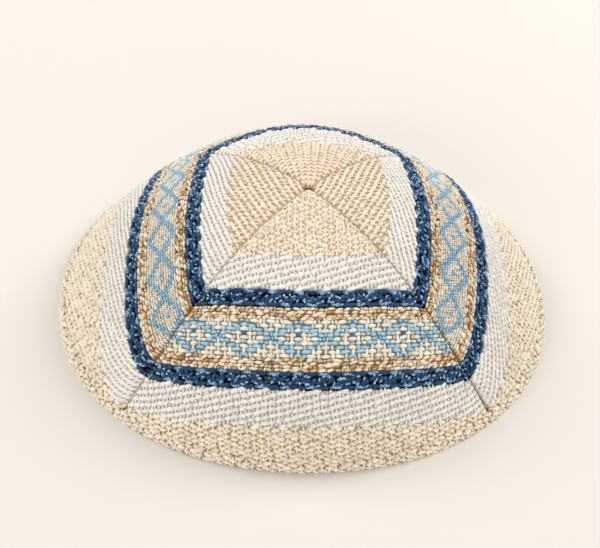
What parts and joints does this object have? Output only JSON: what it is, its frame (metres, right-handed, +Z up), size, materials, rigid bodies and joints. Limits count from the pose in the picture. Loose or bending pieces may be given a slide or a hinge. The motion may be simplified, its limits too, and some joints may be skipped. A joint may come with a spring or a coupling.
{
  "type": "kippah skullcap",
  "caption": "Shallow domed skullcap of woven cotton gores sewn to a thick stitched hem, with concentric stripes and a diamond band.",
  "frame": {"origin": "middle of the rim, on the surface that the cap rests on", "axes": "+Z up through the crown, -Y towards the front of the cap, +X to its left side as worn"},
  "size_m": [0.1776, 0.1608, 0.0542],
  "materials": {
    "woven_cotton": "coarse plump cotton weave in cream, white, navy and tan stripes, matte",
    "hem_cotton": "thick cream cotton overstitching, matte"
  },
  "bodies": {
    "root": {"gore_front": "woven_cotton", "gore_right": "woven_cotton", "gore_back": "woven_cotton", "gore_left": "woven_cotton", "rim_hem": "hem_cotton"}
  },
  "joints": []
}
